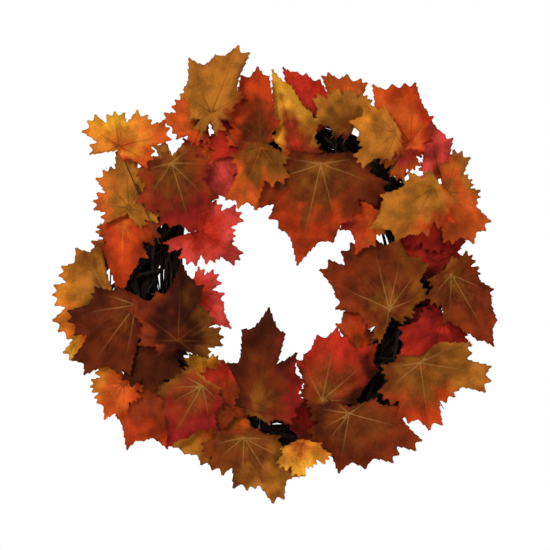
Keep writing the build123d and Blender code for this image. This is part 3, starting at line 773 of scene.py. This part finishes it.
def relief(seed, flat, turns, share, marks):
    """How far back the cloth lies from the blade's smooth curve: creased at the veins, rippled
    along the edge, and curled at the tips."""
    radius = np.linalg.norm(flat, axis=1)
    crease = CREASE_DEPTH * np.exp(-((marks[:, 0] / CREASE_WIDTH) ** 2))
    crease += FINE_CREASE_DEPTH * np.exp(-((marks[:, 1] / FINE_CREASE_WIDTH) ** 2))
    near_edge = np.exp(-marks[:, 2] / RIPPLE_REACH)
    ripple = RIPPLE_DEPTH * near_edge * wander(flat, RIPPLE_SCALE, seed)
    swell = SWELL_DEPTH * wander(flat, SWELL_SCALE, seed + 20) * np.minimum(1, radius / 12)
    curl = wander(np.column_stack([np.cos(turns), np.sin(turns)]), 0.7, seed + 40)
    curled = CURL_RATE * (0.4 + 2.0 * curl) * np.maximum(share - CURL_START, 0) ** 2 * radius
    return crease + ripple + swell + curled


def leaf_tint(leaf, seed, turns, share, flat):
    """The colour at each point, from the words for the leaf's parts, with soft blotchy borders."""
    junction, middle, *sides = (linear(PALETTE[word]) for word in leaf.colours.split())
    drift = wander(flat, 16.0, seed + 60)
    degrees = (np.degrees(turns) + COLOUR_DRIFT * drift) % 360
    anchors = np.array([0, 72, 180, 288, 360])
    ring = np.array([sides[0], sides[1], sides[2], sides[3], sides[0]])
    span = np.clip(np.searchsorted(anchors, degrees, side="right") - 1, 0, 3)
    part = smoothstep(anchors[span], anchors[span + 1], degrees)[:, None]
    outer = ring[span] * (1 - part) + ring[span + 1] * part
    outwards = share + 0.22 * wander(flat, 11.0, seed + 80)
    to_middle = smoothstep(*JUNCTION_BORDER, outwards)[:, None]
    to_outer = smoothstep(*MIDDLE_BORDER, outwards)[:, None]
    return (junction * (1 - to_middle) + middle * to_middle) * (1 - to_outer) + outer * to_outer


def rib(points, radii):
    """A tapered rib along a line on the leaf, as its points and faces, with closed ends."""
    ahead = np.gradient(points, axis=0)
    ahead /= np.linalg.norm(ahead, axis=1)[:, None]
    across = np.cross(ahead, (0, 1, 0))
    across /= np.linalg.norm(across, axis=1)[:, None]
    out = np.cross(across, ahead)
    rings = []
    for i in range(RIB_SIDES):
        angle = 2 * math.pi * i / RIB_SIDES
        rings.append(points + radii[:, None] * (math.cos(angle) * across + math.sin(angle) * out))
    placed = np.stack(rings, axis=1).reshape(-1, 3)
    faces = []
    last = (len(points) - 1) * RIB_SIDES
    for here in range(0, last, RIB_SIDES):
        there = here + RIB_SIDES
        for j in range(RIB_SIDES):
            k = (j + 1) % RIB_SIDES
            faces.append([here + j, there + j, there + k, here + k])
    faces.append(list(range(RIB_SIDES)))
    faces.append([last + j for j in reversed(range(RIB_SIDES))])
    return placed, faces


def cloth_triangles(leaf, outline, veins):
    """The flat leaf's points and triangles, with the outline and the veins among their edges."""
    span = 1.6 * leaf.length
    rows = np.arange(-span, span, MESH_STEP * 0.866)
    columns = np.arange(-span, span, MESH_STEP)
    grid = np.array([(x + (i % 2) * MESH_STEP / 2, y) for i, y in enumerate(rows) for x in columns])
    fixed, _ = nearest_tree([outline] + veins)
    grid = [p for p in grid[is_inside(outline, grid)] if fixed.find((*p, 0))[2] > 0.9]

    corners = [Vector(p) for p in outline]
    lines = []
    for line in veins:
        start = len(corners)
        corners += [Vector(p) for p in line]
        lines += [(start + i, start + i + 1) for i in range(len(line) - 1)]
    corners += [Vector(p) for p in grid]
    solved = delaunay_2d_cdt(corners, lines, [list(range(len(outline)))], 1, 1e-3)
    return np.array([tuple(v) for v in solved[0]]), [list(face) for face in solved[2]]


def places_on_leaf(flat, outline):
    """Each point's turn about the junction, and its share of the way out to the edge."""
    turns = np.arctan2(flat[:, 1], flat[:, 0])
    edge_turns = np.arctan2(outline[:, 1], outline[:, 0])
    order = np.argsort(edge_turns)
    edge_reach = np.linalg.norm(outline, axis=1)[order]
    reach = np.interp(turns, edge_turns[order], edge_reach, period=2 * math.pi)
    return turns, np.linalg.norm(flat, axis=1) / np.maximum(reach, 1.0)


def on_blade(name, leaf, flat):
    """The flat points turned to the leaf's heading and laid on the frame's blade."""
    ahead = polar(leaf.heading, 1)
    spots = flat @ np.array([ahead, (-ahead[1], ahead[0])]) + leaf_place(name, leaf)
    back = curve_terms(spots[:, 0], spots[:, 1]) @ blade_curve(name)
    return np.column_stack([spots[:, 0], back, spots[:, 1]])


def cloth_faces(triangles, count):
    """The front's faces, the back's, whose points follow the front's, and the rim's between them."""
    used = dict.fromkeys((t[i - 1], t[i]) for t in triangles for i in range(3))
    faces = triangles + [[i + count for i in reversed(t)] for t in triangles]
    return faces + [[b, a, a + count, b + count] for a, b in used if (b, a) not in used]


def silk_leaf(name, leaf, seed, tree, stems, material):
    """One leaf: two faces of cloth, its rim, and the ribs on both."""
    outline = toothed_outline(leaf, seed)
    mains = main_veins(leaf)
    sides = side_veins(mains, outline)
    flat, triangles = cloth_triangles(leaf, outline, mains + sides)
    turns, share = places_on_leaf(flat, outline)
    marks = np.stack([
        distance_to_lines(flat, mains),
        distance_to_lines(flat, sides) if sides else np.full(len(flat), FAR),
        distance_to_lines(flat, [np.vstack([outline, outline[:1]])]),
    ], axis=1)

    front = on_blade(name, leaf, flat)
    edges = np.array(sorted({tuple(sorted((t[i], t[i - 1]))) for t in triangles for i in range(3)}))
    behind = clear_of_stems(stems, front, room(tree, front, 1, edges))
    bend = relief(seed, flat, turns, share, marks)
    front[:, 1] += np.clip(bend, -room(tree, front, -1, edges), behind)

    faces = cloth_faces(triangles, len(front))
    points = [front, front + np.array([0, CLOTH_THICKNESS, 0])]
    total = 2 * len(front)
    tints = leaf_tint(leaf, seed, turns, share, flat)
    faded = smoothstep(*VEIN_FADE, share)[:, None]
    vein_tints = (1 - faded) * linear(PALETTE[leaf.vein]) + faded * tints
    rib_tint = RIB_SHARE * vein_tints + (1 - RIB_SHARE) * tints
    values = [(flat, tints, vein_tints, marks)] * 2
    surface, _ = nearest_tree([flat])
    for line in mains:
        line = line[1:]
        taper = np.linspace(1, 0.3, len(line))
        near = [surface.find((*p, 0))[1] for p in line]
        for radius, depth in RIBS:
            placed, rib_faces = rib(front[near] + np.array([0, depth, 0]), radius * taper)
            faces += [[i + total for i in face] for face in rib_faces]
            total += len(placed)
            points.append(placed)
            rib_tints = np.repeat(rib_tint[near], RIB_SIDES, axis=0)
            rib_marks = np.full((len(placed), 3), FAR)
            values.append((np.repeat(line, RIB_SIDES, axis=0), rib_tints, rib_tints, rib_marks))

    piece = add_mesh("silk_" + name, np.concatenate(points), faces, material)
    piece.data.set_sharp_from_angle(angle=math.radians(50))
    all_flat, all_tints, all_veins, all_marks = (np.concatenate(rows) for rows in zip(*values))
    ones = np.ones((total, 1))
    point_values(piece, "tint", "FLOAT_COLOR", np.hstack([all_tints, ones]))
    point_values(piece, "vein_tint", "FLOAT_COLOR", np.hstack([all_veins, ones]))
    point_values(piece, "marks", "FLOAT_VECTOR", all_marks)
    point_values(piece, "place", "FLOAT_VECTOR", np.hstack([all_flat, seed * 37.0 * ones]))
    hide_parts(name)
    return piece


# ---- vines
def bundle_point(turn, offset, around):
    """A place in the ring's bundle: turn round the ring, then offset and angle round the
    bundle's centreline, where 0 is outwards and 90 is to the back."""
    angle = math.radians(turn)
    spin = math.radians(around)
    radius = RING_RADIUS + offset * math.cos(spin)
    return (radius * math.cos(angle), offset * math.sin(spin), radius * math.sin(angle))


def vine(line, radii, sides, seed, knots=True):
    """A gnarled vine along a line, as its points and faces and their places and ridges."""
    line = np.array(line)
    ahead = np.gradient(line, axis=0)
    lengths = np.linalg.norm(ahead, axis=1)
    ahead /= lengths[:, None]
    along = np.cumsum(lengths)
    side = np.cross(ahead[0], (0.3, 1, 0.2))
    side /= np.linalg.norm(side)
    points = []
    places = []
    ridges = []
    for i, (centre, forward) in enumerate(zip(line, ahead)):
        side = side - forward * side.dot(forward)
        side /= np.linalg.norm(side)
        other = np.cross(forward, side)
        swelling = 0.0
        if knots:
            past_knot = (along[i] + 17 * seed) % KNOT_SPACING - KNOT_SPACING // 2
            swelling = KNOT_SIZE * math.exp(-(past_knot / KNOT_LENGTH) ** 2)
        for j in range(sides):
            angle = 2 * math.pi * j / sides
            spot = (along[i] / 26 + seed, 2.1 * math.cos(angle), 2.1 * math.sin(angle))
            fine = (along[i] / 9 + seed, 5.0 * math.cos(angle), 5.0 * math.sin(angle))
            ridge = 0.6 * noise.noise(spot) + 0.5 * noise.noise(fine)
            radius = radii[i] * (1 + swelling + 0.2 * ridge)
            points.append(centre + radius * (math.cos(angle) * side + math.sin(angle) * other))
            places.append((along[i], radii[i] * angle, seed * 11.0))
            ridges.append(0.5 + ridge)
    faces = []
    last = (len(line) - 1) * sides
    for here in range(0, last, sides):
        there = here + sides
        for j in range(sides):
            k = (j + 1) % sides
            faces.append([here + j, here + k, there + k, there + j])
    faces.append(list(reversed(range(sides))))
    faces.append([last + j for j in range(sides)])
    return np.array(points), faces, np.array(places), np.array(ridges)


def vine_piece(name, vines, material, replaced=()):
    """Several vines as one piece."""
    faces = []
    total = 0
    for points, vine_faces, _, _ in vines:
        faces += [[i + total for i in face] for face in vine_faces]
        total += len(points)
    piece = add_mesh(name, np.concatenate([v[0] for v in vines]), faces, material)
    piece.data.set_sharp_from_angle(angle=math.radians(60))
    point_values(piece, "place", "FLOAT_VECTOR", np.concatenate([v[2] for v in vines]))
    point_values(piece, "ridge", "FLOAT", np.concatenate([v[3] for v in vines]))
    if replaced:
        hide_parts(*replaced)
    return piece


def wound_line(start, sweep, offset, phase, twists, seed, stray=1.0, bulge=0.0):
    """A line that winds round the bundle as it goes round the ring, straying a little. It
    bulges towards the ring's inside and outside."""
    line = []
    for turn in np.arange(start, start + sweep, 1.5 * np.sign(sweep)):
        spot = Vector((turn / 24, seed * 3.7, 0))
        out = offset + stray * noise.noise(spot)
        around = phase + twists * turn + 5 * stray * noise.noise(spot + Vector((0, 0, 9)))
        out += bulge * math.cos(math.radians(around)) ** 2
        line.append(bundle_point(turn, out, around))
    return line


def cane_set(count, offset, twists, first_seed):
    """Thick canes that taper at both ends, one after another round the bundle."""
    made = []
    for i in range(count):
        start = 200 + 137 * i
        line = wound_line(start, CANE_SWEEP, offset, 360 * i / count, twists, first_seed + i, 0.5)
        share = np.linspace(0, 1, len(line))
        taper = 0.25 * smoothstep(0.85, 1, share) + 0.15 * smoothstep(0.12, 0, share)
        radii = CANE_RADIUS * (0.98 - taper)
        made.append(vine(line, radii, 16, first_seed + i))
    return made


def thin_vines():
    """Loose thinner vines that run over and between the canes."""
    made = []
    for i in range(LOOSE_VINES):
        seed = 50 + i
        start = 53 * i + 20 * noise.noise(Vector((seed, 0, 0)))
        sweep = 110 + 130 * (i % 3) / 2
        offset = LOOSE_OFFSET + 3.6 * ((i * 7) % 5) / 4
        twists = (2.2, 3.4, -1.6, 4.5, -2.4)[i % 5]
        line = wound_line(start, sweep, offset, 71 * i, twists, seed, 1.6, LOOSE_BULGE)
        share = np.linspace(0, 1, len(line))
        thick = 1.4 + 1.3 * ((i * 3) % 4) / 3
        radii = thick * (1 - 0.6 * smoothstep(0.7, 1, share) - 0.3 * smoothstep(0.2, 0, share))
        made.append(vine(line, radii, 9, seed))
    return made


def stray_strands():
    """Runs of thin vine that cut straight across the ring's inside, or bow out past it."""
    made = []
    for group, (middle, half, nearest, spread, count) in enumerate(STRAY_RUNS):
        for i in range(count):
            level = nearest + spread * i / (count - 1)
            line = []
            for turn in np.linspace(-half, half, 60):
                if level < RING_RADIUS:
                    radius = level / math.cos(math.radians(turn))
                else:
                    bow = smoothstep(half, 0.8 * half, abs(turn))
                    radius = RING_RADIUS + bow * (level - RING_RADIUS)
                spot = Vector((turn / 14, 5.3 * i, 11.0 * group))
                across, up = polar(middle + turn, radius + 2.5 * noise.noise(spot))
                wave = 9 * math.sin(math.radians(7 * turn + 130 * i))
                line.append((across, wave + 3 * noise.noise(spot + Vector((0, 0, 5))), up))
            radii = np.full(len(line), STRAY_RADIUS * (1 - 0.25 * (i % 3) / 2))
            made.append(vine(line, radii, 9, 90 + 10 * group + i))
    return made


def binder(span, seed):
    """A binding vine that spirals round the outside of the bundle."""
    first, last = span
    steps = 260
    shares = np.linspace(0, 1, steps)
    turns = first + (last - first) * shares
    line = [bundle_point(t, BINDER_OFFSET, 360 * BINDER_TURNS * s) for t, s in zip(turns, shares)]
    radii = np.full(steps, BINDER_RADIUS) * (1 - 0.4 * smoothstep(0.94, 1, shares))
    return vine(line, radii, 12, seed)


def tendril(points, seed):
    """A thin curly twig end that tapers to a point."""
    corners = [np.array((x, -forward, z), float) for x, z, forward in points]
    ends = [2 * corners[0] - corners[1]] + corners + [2 * corners[-1] - corners[-2]]
    line = [curve_points(*ends[i:i + 4], 9) for i in range(len(corners) - 1)]
    line = np.vstack(line + [corners[-1:]])
    radii = TWIG_RADIUS * np.linspace(1.1, 0.35, len(line))
    return vine(line, radii, 8, seed, knots=False)


def make_vines():
    dark = bark("vine_bark", (0.0025, 0.0016, 0.0013), (0.03, 0.018, 0.012))
    thin = bark("thin_vine_bark", (0.003, 0.002, 0.0015), (0.042, 0.025, 0.016))
    core = cane_set(CORE_CANES, CORE_OFFSET, CORE_TWISTS, 1)
    vine_piece("core_vines", core, dark, ["vine_core"])
    outer = cane_set(OUTER_CANES, OUTER_OFFSET, OUTER_TWISTS, 11)
    vine_piece("outer_vines_a", outer[0::2], dark, ["vine_canes_a"])
    vine_piece("outer_vines_b", outer[1::2], dark, ["vine_canes_b"])
    binders = [binder(span, 31 + i) for i, span in enumerate(BINDER_SPANS)]
    vine_piece("binder_vines", binders, thin, ["binding_vines"])
    tendrils = [tendril(points, 41 + i) for i, points in enumerate(TWIGS)]
    vine_piece("tendrils", tendrils, thin, ["vine_twigs"])
    vine_piece("loose_vines", thin_vines() + stray_strands(), thin)


# ---- leaves, wires and stage
def make_leaves():
    materials = {}
    names = [f"leaf_{number:02d}_{leaf.kind}" for number, leaf in enumerate(LEAVES, start=1)]
    tree = obstacle_tree(names + ["vine_core", "vine_canes_a", "vine_canes_b"])
    stems = obstacle_tree(["leaf_stems"])
    for number, (name, leaf) in enumerate(zip(names, LEAVES), start=1):
        if leaf.kind not in materials:
            materials[leaf.kind] = silk("silk_" + leaf.kind)
        silk_leaf(name, leaf, number * LEAF_SEED_STEP, tree, stems, materials[leaf.kind])


def finish_wires():
    """The frame's own wires and stems keep their shape and get their materials."""
    wire = painted_wire("dark_wire", (0.03, 0.025, 0.02), (0.35, 0.33, 0.3))
    finishes = {"tie_wires": wire, "hanger_band": wire, "hanging_loop": wire}
    finishes["leaf_stems"] = floral_tape("stem_tape")
    for name, material in finishes.items():
        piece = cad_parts[name]
        piece.data.materials.clear()
        piece.data.materials.append(material)


def soft_light(name, place, size, power):
    """A square studio light that faces the wreath, placed in metres from the ring's centre."""
    lamp = bpy.data.lights.new(name, "AREA")
    lamp.size = size
    lamp.energy = power
    light = bpy.data.objects.new(name, lamp)
    light.location = RING_CENTRE + Vector(place)
    light.rotation_euler = (-Vector(place)).to_track_quat("-Z", "Y").to_euler()
    bpy.context.collection.objects.link(light)


def make_stage():
    """White surroundings, soft lights in front and behind, a pale floor and a level camera."""
    scene = bpy.context.scene
    scene.view_settings.view_transform = "Standard"
    world = bpy.data.worlds.new("studio")
    world.use_nodes = True
    scene.world = world
    tree = world.node_tree
    backdrop = tree.nodes["Background"]
    backdrop.inputs["Color"].default_value = (1, 1, 1, 1)
    backdrop.inputs["Strength"].default_value = 1.0
    fill = tree.nodes.new("ShaderNodeBackground")
    fill.inputs["Color"].default_value = (1, 0.98, 0.95, 1)
    fill.inputs["Strength"].default_value = 0.42
    ray = tree.nodes.new("ShaderNodeLightPath")
    blend = tree.nodes.new("ShaderNodeMixShader")
    tree.links.new(ray.outputs["Is Camera Ray"], blend.inputs[0])
    tree.links.new(fill.outputs[0], blend.inputs[1])
    tree.links.new(backdrop.outputs[0], blend.inputs[2])
    tree.links.new(blend.outputs[0], tree.nodes["World Output"].inputs["Surface"])
    for settings in LIGHTS:
        soft_light(*settings)

    floor_radius = 0.9
    floor_gap = 0.13
    bpy.ops.mesh.primitive_circle_add(vertices=96, radius=floor_radius, fill_type="NGON")
    floor = bpy.context.object
    floor.name = "floor"
    floor.location = (RING_CENTRE.x, RING_CENTRE.y, CAD_BOX[0][2] - floor_gap)
    pale = Nodes("pale_floor")
    pale.shader.inputs["Base Color"].default_value = (0.85, 0.84, 0.82, 1)
    pale.shader.inputs["Roughness"].default_value = 0.9
    floor.data.materials.append(pale.material)

    distance = 5.0
    view_width = 0.616
    aim = Vector((-0.0035, -0.055, 0.018))
    lens = bpy.data.cameras.new("camera")
    lens.sensor_width = 36
    lens.lens = lens.sensor_width * distance / view_width
    lens.clip_end = 50
    camera = bpy.data.objects.new("camera", lens)
    camera.location = RING_CENTRE + aim + Vector((0, -distance, 0))
    camera.rotation_euler = (math.radians(90), 0, 0)
    bpy.context.collection.objects.link(camera)
    scene.camera = camera


make_stage()
make_vines()
make_leaves()
finish_wires()
